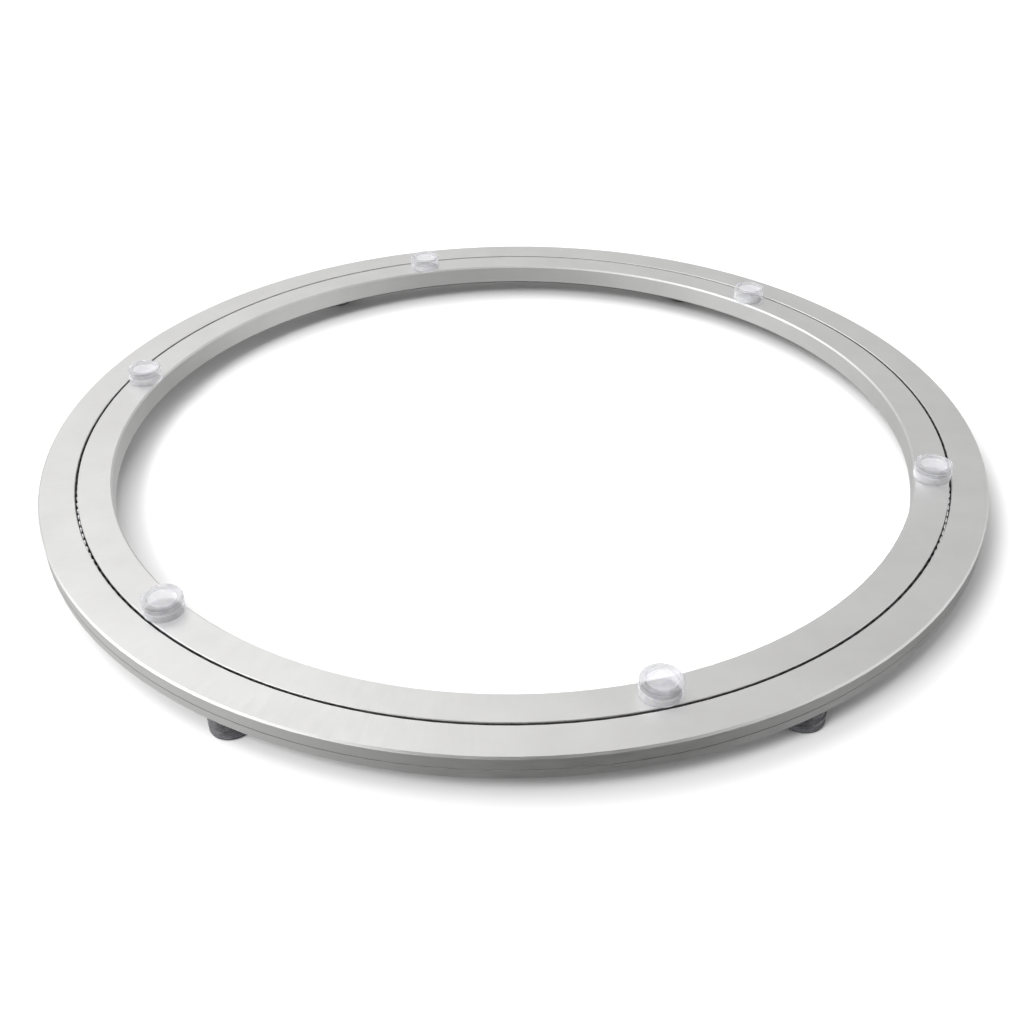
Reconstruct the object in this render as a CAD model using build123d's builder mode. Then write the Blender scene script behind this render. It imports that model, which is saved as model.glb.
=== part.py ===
from build123d import *
import math
import os

# Flat ring turntable: an inner ring turns inside an outer ring on a full circle of
# loose steel balls. Clear soft bumpers carry the load on top and stand the ring on a table.
# Frame: origin on the table under the ring's centre, +Z up and along the turning axis.

# ---- driving dimensions (mm) ----
OUTER_R = 175.0            # outside of the outer ring
INNER_R = 149.5            # inside of the inner ring
RING_T = 8.3               # thickness of both rings
FOOT_H = 6.9               # foot below the outer ring
PAD_H = 5.7                # pad above the inner ring

BALL_R = 2.0
BALL_CIRCLE_R = 162.0      # centres of the balls, and middle of the slit
BALL_COUNT = 252
RACE_R = 2.05              # groove section, 0.05 clear of the ball
SLIT_W = 0.9               # gap between the two rings

EDGE_CHAMFER = 0.6         # long outside and inside edges of the pair
SLIT_CHAMFER = 0.2         # edges beside the slit
WALL_LINE_R = 0.13         # half-round line turned in the outer wall
WALL_LINE_DROP = 0.56      # its height below the top, as a share of the thickness

BUMPER_R = 6.6             # widest part of a pad or foot
BUMPER_WAIST_R = 6.2
BUMPER_ROUND = 0.8         # rounding of its free end
BUMPER_COUNT = 6
PAD_CIRCLE_R = 155.55
PAD_ANGLE = 45.3           # first pad, from +X
FOOT_CIRCLE_R = 168.3
FOOT_ANGLE = 0.0
DISH_R = 4.6               # floor of the dish in the free end
DISH_FLARE = 0.45          # how much wider the dish is at its edge
DISH_D = 1.2
STEM_R = 2.0
STEM_RIB_R = 2.24
STEM_L = 4.6
STEM_HOLE_R = 2.25
STEM_HOLE_D = 5.0

FILL_ANGLE = 90.0          # hole in the outer wall through which the balls are loaded
FILL_HOLE_R = 2.5
FILL_SCREW_R = 2.48
FILL_SCREW_L = 10.0
FILL_SOCKET_AF = 2.5       # hexagon socket, across flats
FILL_SOCKET_D = 2.0

# ---- derived ----
RING_BOTTOM = FOOT_H
RING_TOP = FOOT_H + RING_T
RING_MID = FOOT_H + RING_T / 2
SLIT_OUT_R = BALL_CIRCLE_R + SLIT_W / 2
SLIT_IN_R = BALL_CIRCLE_R - SLIT_W / 2
FILL_TIP_R = BALL_CIRCLE_R + RACE_R + 0.15

os.makedirs("parts", exist_ok=True)


def save(builder, name):
    """Label a finished sub-part and write it under its node name."""
    builder.part.label = name
    export_step(builder.part, f"parts/{name}.step")


def upright_plane(radius, angle, z, up=1):
    """Plane through a vertical axis on a circle: local x points outwards, local y along up * Z."""
    c = math.cos(math.radians(angle))
    s = math.sin(math.radians(angle))
    return Plane(origin=(radius * c, radius * s, z), x_dir=(c, s, 0), z_dir=(up * s, -up * c, 0))


def radial_plane(radius, angle, z):
    """Plane square to a radius of the ring, facing outwards."""
    c = math.cos(math.radians(angle))
    s = math.sin(math.radians(angle))
    return Plane(origin=(radius * c, radius * s, z), x_dir=(-s, c, 0), z_dir=(c, s, 0))


def bumper_outline(height):
    """Half section of a push-in bumper: ribbed stem below y = 0, body above, dish in the end."""
    corners = [
        (0, -STEM_L, 0),
        (STEM_R * 0.7, -STEM_L, 0.2),
        (STEM_RIB_R, -STEM_L * 0.80, 0.15),
        (STEM_R, -STEM_L * 0.68, 0.1),
        (STEM_R, -STEM_L * 0.55, 0.1),
        (STEM_RIB_R, -STEM_L * 0.45, 0.15),
        (STEM_R, -STEM_L * 0.33, 0.1),
        (STEM_R, 0, 0),
        (BUMPER_R, 0, 0.45),
        (BUMPER_R, height * 0.44, 0.3),
        (BUMPER_WAIST_R, height * 0.52, 0.2),
        (BUMPER_R, height * 0.60, 0.3),
        (BUMPER_R, height, BUMPER_ROUND),
        (DISH_R + DISH_FLARE, height, 0.35),
        (DISH_R, height - DISH_D, 0.3),
        (0, height - DISH_D, 0),
    ]
    points = [(x, y) for x, y, _ in corners]
    radii = [r for _, _, r in corners[1:-1]]
    FilletPolyline(*points, radius=radii)
    Line(points[-1], points[0])


# ---- outer ring: stands still, holds the feet and the loading hole ----
with BuildPart() as outer_ring:
    with BuildSketch(Plane.XZ) as outer_section:
        with Locations(((SLIT_OUT_R + OUTER_R) / 2, RING_MID)):
            Rectangle(OUTER_R - SLIT_OUT_R, RING_T)
        chamfer(outer_section.vertices().group_by(Axis.X)[-1], EDGE_CHAMFER)
        chamfer(outer_section.vertices().group_by(Axis.X)[0], SLIT_CHAMFER)
        with Locations((BALL_CIRCLE_R, RING_MID)):
            Circle(RACE_R, mode=Mode.SUBTRACT)
        with Locations((OUTER_R, RING_TOP - WALL_LINE_DROP * RING_T)):
            Circle(WALL_LINE_R, mode=Mode.SUBTRACT)
    revolve(axis=Axis.Z)
    with BuildSketch(Plane.XY.offset(RING_BOTTOM)):
        with PolarLocations(FOOT_CIRCLE_R, BUMPER_COUNT, start_angle=FOOT_ANGLE):
            Circle(STEM_HOLE_R)
    extrude(amount=STEM_HOLE_D, mode=Mode.SUBTRACT)
    with BuildSketch(radial_plane(BALL_CIRCLE_R, FILL_ANGLE, RING_MID)):
        Circle(FILL_HOLE_R)
    extrude(amount=OUTER_R - BALL_CIRCLE_R + 1, mode=Mode.SUBTRACT)
save(outer_ring, "outer_ring")

# ---- inner ring: turns, and carries the pads ----
with BuildPart() as inner_ring:
    with BuildSketch(Plane.XZ) as inner_section:
        with Locations(((INNER_R + SLIT_IN_R) / 2, RING_MID)):
            Rectangle(SLIT_IN_R - INNER_R, RING_T)
        chamfer(inner_section.vertices().group_by(Axis.X)[0], EDGE_CHAMFER)
        chamfer(inner_section.vertices().group_by(Axis.X)[-1], SLIT_CHAMFER)
        with Locations((BALL_CIRCLE_R, RING_MID)):
            Circle(RACE_R, mode=Mode.SUBTRACT)
    revolve(axis=Axis.Z)
    with BuildSketch(Plane.XY.offset(RING_TOP)):
        with PolarLocations(PAD_CIRCLE_R, BUMPER_COUNT, start_angle=PAD_ANGLE):
            Circle(STEM_HOLE_R)
    extrude(amount=-STEM_HOLE_D, mode=Mode.SUBTRACT)
save(inner_ring, "inner_ring")

# ---- full circle of loose balls in the race ----
with BuildPart(Plane.XY.offset(RING_MID)) as bearing_balls:
    with PolarLocations(BALL_CIRCLE_R, BALL_COUNT):
        Sphere(BALL_R)
save(bearing_balls, "bearing_balls")

# ---- set screw that closes the loading hole; its thread is left plain ----
with BuildPart() as fill_screw:
    with BuildSketch(radial_plane(FILL_TIP_R, FILL_ANGLE, RING_MID)):
        Circle(FILL_SCREW_R)
    extrude(amount=FILL_SCREW_L)
    chamfer(fill_screw.edges().filter_by(GeomType.CIRCLE), 0.3)
    with BuildSketch(radial_plane(FILL_TIP_R + FILL_SCREW_L, FILL_ANGLE, RING_MID)):
        RegularPolygon(FILL_SOCKET_AF / 2, 6, major_radius=False)
    extrude(amount=-FILL_SOCKET_D, mode=Mode.SUBTRACT)
save(fill_screw, "fill_screw")

# ---- clear pads on the inner ring and feet under the outer ring ----
BUMPER_SETS = [
    ("top_pad", PAD_CIRCLE_R, PAD_ANGLE, RING_TOP, 1, PAD_H),
    ("foot", FOOT_CIRCLE_R, FOOT_ANGLE, RING_BOTTOM, -1, FOOT_H),
]
for family, circle_r, first_angle, face_z, up, height in BUMPER_SETS:
    for number in range(BUMPER_COUNT):
        axis_plane = upright_plane(circle_r, first_angle + number * 360 / BUMPER_COUNT, face_z, up)
        with BuildPart() as bumper:
            with BuildSketch(axis_plane):
                with BuildLine():
                    bumper_outline(height)
                make_face()
            revolve(axis=Axis(axis_plane.origin, (0, 0, 1)))
        save(bumper, f"{family}_{number + 1}")
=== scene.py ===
import math

import bpy
from mathutils import Matrix, Vector


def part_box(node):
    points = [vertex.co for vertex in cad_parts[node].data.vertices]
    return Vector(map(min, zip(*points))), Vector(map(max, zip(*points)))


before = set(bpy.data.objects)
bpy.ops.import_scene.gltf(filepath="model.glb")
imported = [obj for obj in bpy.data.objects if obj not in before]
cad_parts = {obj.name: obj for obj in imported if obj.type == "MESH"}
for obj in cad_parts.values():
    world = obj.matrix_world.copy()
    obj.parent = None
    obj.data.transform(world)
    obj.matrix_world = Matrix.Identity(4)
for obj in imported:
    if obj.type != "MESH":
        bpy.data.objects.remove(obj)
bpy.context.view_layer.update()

# The ring turntable's looks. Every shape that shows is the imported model's own: this script paints
# its pieces and makes the floor, the light and the camera.

MM = 0.001

# ---- places, from the model's parts ----
RING_LOW, RING_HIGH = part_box("outer_ring")
RING_R = RING_HIGH.x                       # outside radius of the pair of rings
RING_BOTTOM, RING_TOP = RING_LOW.z, RING_HIGH.z
BORE_R = min(math.hypot(v.co.x, v.co.y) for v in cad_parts["inner_ring"].data.vertices)
CHAMFER = 0.6 * MM                         # on the long edges of the pair
SLIT_W = 0.9 * MM
BALL_CIRCLE_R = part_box("inner_ring")[1].x + SLIT_W / 2
BALLS_OUT_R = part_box("bearing_balls")[1].x
BALLS_IN_R = 2 * BALL_CIRCLE_R - BALLS_OUT_R
WALL_LINE_DROP = 0.56                      # the fine line in the wall, as a share of the thickness
WALL_LINE_Z = RING_TOP - WALL_LINE_DROP * (RING_TOP - RING_BOTTOM)
PAD_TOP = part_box("top_pad_1")[1].z
DISH_DEPTH = 1.2 * MM                      # in the end of each pad and foot

TOP_PADS = [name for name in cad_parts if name.startswith("top_pad")]
FEET = [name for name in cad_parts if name.startswith("foot")]


# ---- camera ----
CAMERA_LENS = 43.05
SENSOR_WIDTH = 36.0
CAMERA_AZIMUTH = math.radians(-0.25)       # the front, turned a hair towards the first foot
CAMERA_ROLL = math.radians(-0.54)
CAMERA_PLACE = Vector((0, -2.3260 * RING_R, RING_TOP + 1.3851 * RING_R))
CAMERA_AIM = Vector((-0.0023 * RING_R, -0.3382 * RING_R, RING_TOP))


def make_camera():
    """A standing view from the front, aimed a third of a radius in front of the ring's centre."""
    data = bpy.data.cameras.new("camera")
    data.sensor_width = SENSOR_WIDTH
    data.lens = CAMERA_LENS
    camera = bpy.data.objects.new("camera", data)
    bpy.context.scene.collection.objects.link(camera)
    look = (CAMERA_AIM - CAMERA_PLACE).to_track_quat("-Z", "Y").to_matrix().to_4x4()
    turn = Matrix.Rotation(CAMERA_AZIMUTH, 4, "Z")
    roll = Matrix.Rotation(CAMERA_ROLL, 4, "Z")
    camera.matrix_world = turn @ Matrix.Translation(CAMERA_PLACE) @ look @ roll
    bpy.context.scene.camera = camera


# ---- node helpers ----
def new_material(name, **values):
    """A Principled material with constant values on the shader's own sockets."""
    material = bpy.data.materials.new(name)
    material.use_nodes = True
    shader = material.node_tree.nodes["Principled BSDF"]
    for key, value in values.items():
        shader.inputs[key.replace("_", " ")].default_value = value
    return material, material.node_tree, shader


def add_node(tree, kind, **values):
    """A new node, with its properties or its inputs set by name."""
    node = tree.nodes.new(kind)
    for key, value in values.items():
        if key in node.bl_rna.properties:
            setattr(node, key, value)
        else:
            node.inputs[key.replace("_", " ")].default_value = value
    return node


def calculate(tree, operation, *operands):
    """A Math node on sockets or plain numbers."""
    node = add_node(tree, "ShaderNodeMath", operation=operation)
    for slot, operand in zip(node.inputs, operands):
        if isinstance(operand, (int, float)):
            slot.default_value = operand
        else:
            tree.links.new(operand, slot)
    return node.outputs[0]


def split(tree, vector):
    """A vector's three numbers, as sockets."""
    parts = add_node(tree, "ShaderNodeSeparateXYZ")
    tree.links.new(vector, parts.inputs[0])
    return parts.outputs["X"], parts.outputs["Y"], parts.outputs["Z"]


def object_place(tree):
    return add_node(tree, "ShaderNodeTexCoord").outputs["Object"]


def ring_place(tree, angle_scale):
    """Object space as (radius, angle times angle_scale, height), so that marks can follow the ring."""
    x, y, z = split(tree, object_place(tree))
    flat = add_node(tree, "ShaderNodeCombineXYZ")
    tree.links.new(x, flat.inputs["X"])
    tree.links.new(y, flat.inputs["Y"])
    radius = add_node(tree, "ShaderNodeVectorMath", operation="LENGTH")
    tree.links.new(flat.outputs[0], radius.inputs[0])
    angle = calculate(tree, "ARCTAN2", y, x)
    out = add_node(tree, "ShaderNodeCombineXYZ")
    tree.links.new(radius.outputs["Value"], out.inputs["X"])
    tree.links.new(calculate(tree, "MULTIPLY", angle, angle_scale), out.inputs["Y"])
    tree.links.new(z, out.inputs["Z"])
    return out.outputs[0]


def noise(tree, place, scale, detail, roughness):
    node = add_node(tree, "ShaderNodeTexNoise", Scale=scale, Detail=detail, Roughness=roughness)
    tree.links.new(place, node.inputs["Vector"])
    return node.outputs["Fac"]


def ramp(tree, factor, low, high, start=0.3, end=0.7):
    """Blend from low to high (grey levels or colours) as factor goes from start to end."""
    node = add_node(tree, "ShaderNodeValToRGB")
    for element, position, value in zip(node.color_ramp.elements, (start, end), (low, high)):
        element.position = position
        element.color = (*value, 1) if isinstance(value, tuple) else (value, value, value, 1)
    tree.links.new(factor, node.inputs["Fac"])
    return node.outputs["Color"]


def map_range(tree, value, low, high, at_low=0.0, at_high=1.0, smooth=True):
    """Goes from at_low to at_high as value goes from low to high, and stays there beyond."""
    node = add_node(tree, "ShaderNodeMapRange")
    node.interpolation_type = "SMOOTHSTEP" if smooth else "LINEAR"
    node.inputs["From Min"].default_value = low
    node.inputs["From Max"].default_value = high
    node.inputs["To Min"].default_value = at_low
    node.inputs["To Max"].default_value = at_high
    tree.links.new(value, node.inputs["Value"])
    return node.outputs[0]


def band(tree, value, low, high, soft):
    """1 from low to high, falling to 0 within soft outside them."""
    rising = map_range(tree, value, low - soft, low)
    falling = map_range(tree, value, high + soft, high)
    return calculate(tree, "MULTIPLY", rising, falling)


def blend(tree, kind, factor, first, second):
    """first where factor is 0 and second where it is 1. second is a socket or a constant."""
    node = add_node(tree, "ShaderNodeMix", data_type=kind)
    tree.links.new(factor, node.inputs["Factor"])
    tree.links.new(first, node.inputs["A"])
    if isinstance(second, bpy.types.NodeSocket):
        tree.links.new(second, node.inputs["B"])
    else:
        node.inputs["B"].default_value = second
    return node.outputs["Result"]


def bump(tree, shader, height, strength, distance):
    node = add_node(tree, "ShaderNodeBump", Strength=strength, Distance=distance)
    tree.links.new(height, node.inputs["Height"])
    tree.links.new(node.outputs[0], shader.inputs["Normal"])


# ---- materials ----
ALUMINIUM_DULL, ALUMINIUM_BRIGHT = (0.792, 0.789, 0.780), (0.868, 0.866, 0.858)
# Painted shade: the dark colour below darkens the slit, the ball race and the wall's fine line, where
# shade falls.
PAINTED_SHADE_METAL = (0.11, 0.107, 0.103)
WALL_LINE_DARK = 0.70                      # how far the fine line's metal goes towards that painted shade
WALL_LINE_HALF = 0.12 * MM
WALL_LINE_SOFT = 0.10 * MM
RACE_EDGE = 0.5 * MM                       # painted shade stops this far beyond the balls
RACE_DEPTH = 1.1 * MM                      # and is full this far inside the rings' faces
EDGE_SOFT = 0.1 * MM


def painted_shade(tree, ring):
    """1 where the metal is painted dark as shade: in the slit and the ball race, and partly in the
    wall's fine line.
    """
    radius, _, height = split(tree, ring)
    edge = RACE_EDGE - EDGE_SOFT
    across = band(tree, radius, BALLS_IN_R - edge, BALLS_OUT_R + edge, 2 * EDGE_SOFT)
    soft = RACE_DEPTH - CHAMFER
    along = band(tree, height, RING_BOTTOM + RACE_DEPTH, RING_TOP - RACE_DEPTH, soft)
    race = calculate(tree, "MULTIPLY", across, along)
    wall = map_range(tree, radius, RING_R - CHAMFER, RING_R - CHAMFER + EDGE_SOFT)
    line_low, line_high = WALL_LINE_Z - WALL_LINE_HALF, WALL_LINE_Z + WALL_LINE_HALF
    line = calculate(tree, "MULTIPLY", wall, band(tree, height, line_low, line_high, WALL_LINE_SOFT))
    return calculate(tree, "MAXIMUM", race, calculate(tree, "MULTIPLY", line, WALL_LINE_DARK))


def turned_walls(tree, ring):
    """1 on the outer and inner walls of the pair, 0 on the flat faces."""
    radius = split(tree, ring)[0]
    outer = map_range(tree, radius, RING_R - CHAMFER, RING_R - CHAMFER + EDGE_SOFT)
    bore = map_range(tree, radius, BORE_R + CHAMFER, BORE_R + CHAMFER - EDGE_SOFT)
    return calculate(tree, "MAXIMUM", outer, bore)


def satin_aluminium():
    """Fine-blasted, clear-anodised aluminium: mottled, with radial marks on top and turned walls, and
    painted shade in the slit, the ball race and the wall's fine line.
    """
    material, tree, shader = new_material("satin_aluminium", Metallic=1.0)
    place = object_place(tree)
    ring = ring_place(tree, angle_scale=2.4)
    mottle = noise(tree, place, scale=42, detail=4, roughness=0.6)
    tone = ramp(tree, mottle, ALUMINIUM_DULL, ALUMINIUM_BRIGHT, start=0.25, end=0.75)
    # painted shade: the slit, the ball race and the wall's fine line go dark
    colour = blend(tree, "RGBA", painted_shade(tree, ring), tone, (*PAINTED_SHADE_METAL, 1))
    tree.links.new(colour, shader.inputs["Base Color"])
    radial = noise(tree, ring, scale=120, detail=3, roughness=0.55)
    turned = noise(tree, ring_place(tree, angle_scale=0.006), scale=3000, detail=3, roughness=0.55)
    marks = blend(tree, "FLOAT", turned_walls(tree, ring), radial, turned)
    tree.links.new(ramp(tree, marks, low=0.37, high=0.50), shader.inputs["Roughness"])
    grain = noise(tree, place, scale=5200, detail=2, roughness=0.6)
    bump(tree, shader, grain, strength=0.16, distance=0.06 * MM)
    return material


def steel(name, pattern, dull, bright, smooth, rough):
    """Bare steel under a thin film of oil. pattern is the scale, detail and roughness of its noise."""
    material, tree, shader = new_material(name, Metallic=1.0)
    film = noise(tree, object_place(tree), *pattern)
    tree.links.new(ramp(tree, film, dull, bright), shader.inputs["Base Color"])
    tree.links.new(ramp(tree, film, smooth, rough), shader.inputs["Roughness"])
    return material


FROSTED_HALF = 0.05 * MM                   # how far from the dish's floor the frosting goes
FROSTED_SOFT = 0.02 * MM
FROSTED_CLEARNESS = 0.60
FROSTED_ROUGHNESS = 0.45


def clear_vinyl(name, dull, bright, alpha, scatter, dish, low, high):
    """Clear soft vinyl with small moulding ripples, coloured from dull to bright: a cool tint on the
    pads, painted shade on the feet.

    low and high are (height, clearness) pairs, between which the vinyl changes from milky to clear.
    dish is the height of the dish's floor, which is frosted.
    """
    material, tree, shader = new_material(name, IOR=1.53, Alpha=alpha, Subsurface_Weight=scatter,
                                          Subsurface_Radius=(1, 1, 1), Subsurface_Scale=4 * MM)
    place = object_place(tree)
    height = split(tree, place)[2]
    cloud = noise(tree, place, scale=520, detail=4, roughness=0.65)
    tree.links.new(ramp(tree, cloud, dull, bright), shader.inputs["Base Color"])
    frosted = band(tree, height, dish - FROSTED_HALF, dish + FROSTED_HALF, FROSTED_SOFT)
    clear = map_range(tree, height, low[0], high[0], low[1], high[1], smooth=False)
    unfrosted = map_range(tree, frosted, 0.0, 1.0, 1.0, FROSTED_CLEARNESS, smooth=False)
    tree.links.new(calculate(tree, "MULTIPLY", clear, unfrosted), shader.inputs["Transmission Weight"])
    rough = blend(tree, "FLOAT", frosted, ramp(tree, cloud, low=0.03, high=0.22), FROSTED_ROUGHNESS)
    tree.links.new(rough, shader.inputs["Roughness"])
    ripple = noise(tree, place, scale=300, detail=3, roughness=0.55)
    bump(tree, shader, ripple, strength=0.6, distance=0.5 * MM)
    return material


def paint(names, material):
    """Puts one material on every slot of the named nodes."""
    for name in names:
        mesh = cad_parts[name].data
        for slot in range(len(mesh.materials)):
            mesh.materials[slot] = material


def paint_all():
    """Aluminium rings, bright balls, a darker screw, milky-clear pads, and feet in the pads' clear
    vinyl painted dark as shade.
    """
    paint(("outer_ring", "inner_ring"), satin_aluminium())
    paint(("bearing_balls",), steel(
        "polished_steel", pattern=(900, 2, 0.5), dull=(0.78, 0.78, 0.80), bright=(0.90, 0.90, 0.92),
        smooth=0.10, rough=0.22))
    paint(("fill_screw",), steel(
        "plain_steel", pattern=(700, 4, 0.6), dull=(0.25, 0.25, 0.26), bright=(0.42, 0.42, 0.43),
        smooth=0.28, rough=0.45))
    paint(TOP_PADS, clear_vinyl(
        "pad_vinyl", dull=(0.80, 0.80, 0.92), bright=(1.0, 1.0, 1.0), alpha=0.5, scatter=0.6,
        dish=PAD_TOP - DISH_DEPTH, low=(RING_TOP + 2.0 * MM, 0.0), high=(PAD_TOP - 0.8 * MM, 0.62)))
    # The feet are the pads' clear vinyl; their dark colour is painted shade from sitting under the
    # ring.
    paint(FEET, clear_vinyl(
        "foot_vinyl_painted_shade", dull=(0.10, 0.10, 0.11), bright=(0.26, 0.26, 0.28), alpha=0.95, scatter=0.0,
        dish=DISH_DEPTH, low=(0.0, 0.6), high=(RING_BOTTOM, 0.6)))


# ---- stage ----
FLOOR_SIZE = 12.0
FLOOR_WHITE = (0.90, 0.90, 0.90, 1)


def make_floor():
    """Pale paper, left out of what the rings mirror and of what shows through the pads."""
    bpy.ops.mesh.primitive_plane_add(size=FLOOR_SIZE)
    floor = bpy.context.object
    floor.name = "floor"
    material, _, shader = new_material("floor_paper", Roughness=0.9)
    shader.inputs["Base Color"].default_value = FLOOR_WHITE
    floor.data.materials.append(material)
    floor.visible_glossy = False
    floor.visible_transmission = False


def softbox(name, place, size, power, mirrored):
    """A square area lamp at place, aimed at the ring's centre."""
    data = bpy.data.lights.new(name, "AREA")
    data.shape = "RECTANGLE"
    data.size = size
    data.size_y = size
    data.energy = power
    lamp = bpy.data.objects.new(name, data)
    bpy.context.scene.collection.objects.link(lamp)
    lamp.location = place
    lamp.visible_glossy = mirrored
    lamp.rotation_euler = (-Vector(place)).to_track_quat("-Z", "Y").to_euler()


SKY = 0.575                                # radiance of the room's walls and ceiling
FRONT = Vector((0.0, -0.86, 0.51))         # the camera's own side of the room is unlit
FRONT_START, FRONT_END = 0.74, 0.88        # cosines of the angle from it where dark starts and is full
FRONT_DARK = 0.04
BELOW = Vector((0.28, -0.06, -0.96))       # downwards it is dim, which the walls and the feet mirror
BELOW_START, BELOW_END = 0.44, 0.73
BELOW_DIM = 0.06
GLOWS = [                                  # soft lights: where from, how narrow, how strong
    (Vector((-0.27, 0.58, 0.76)), 28, 1.12),
    (Vector((-0.68, 0.05, 0.72)), 14, 1.15),
    (Vector((-0.92, -0.18, 0.33)), 7, 1.20),
    (Vector((0.95, -0.30, -0.05)), 6, 0.70),
    (Vector((0.90, 0.42, 0.12)), 12, 0.10),
    (Vector((-0.10, -0.34, 0.93)), 32, 0.70),
]


def make_world():
    """Soft studio surroundings: pale all round, dark behind the camera and below, with soft glows."""
    world = bpy.data.worlds.new("studio")
    bpy.context.scene.world = world
    world.use_nodes = True
    tree = world.node_tree
    outward = add_node(tree, "ShaderNodeTexCoord").outputs["Generated"]

    def towards(direction):
        """Cosine of the angle between the looked-at direction and this one."""
        dot = add_node(tree, "ShaderNodeVectorMath", operation="DOT_PRODUCT")
        dot.inputs[1].default_value = direction.normalized()
        tree.links.new(outward, dot.inputs[0])
        return dot.outputs["Value"]

    room = map_range(tree, towards(FRONT), FRONT_START, FRONT_END, SKY, FRONT_DARK)
    under = map_range(tree, towards(BELOW), BELOW_START, BELOW_END, 1.0, BELOW_DIM)
    light = calculate(tree, "MULTIPLY", room, under)
    for direction, narrow, strength in GLOWS:
        ahead = calculate(tree, "MAXIMUM", towards(direction), 0.0)
        spread = calculate(tree, "POWER", ahead, narrow)
        light = calculate(tree, "MULTIPLY_ADD", spread, strength, light)
    background = tree.nodes["Background"]
    background.inputs["Color"].default_value = (1, 1, 1, 1)
    tree.links.new(light, background.inputs["Strength"])


make_camera()
paint_all()
make_floor()
make_world()
softbox("key", place=(-0.8, 0.9, 1.6), size=2.2, power=30, mirrored=False)
softbox("fill", place=(-1.0, -1.1, 1.5), size=0.8, power=24, mirrored=False)
softbox("glint", place=(-1.0, -1.1, 1.45), size=0.35, power=1.3, mirrored=True)
bpy.context.scene.view_settings.view_transform = "Standard"
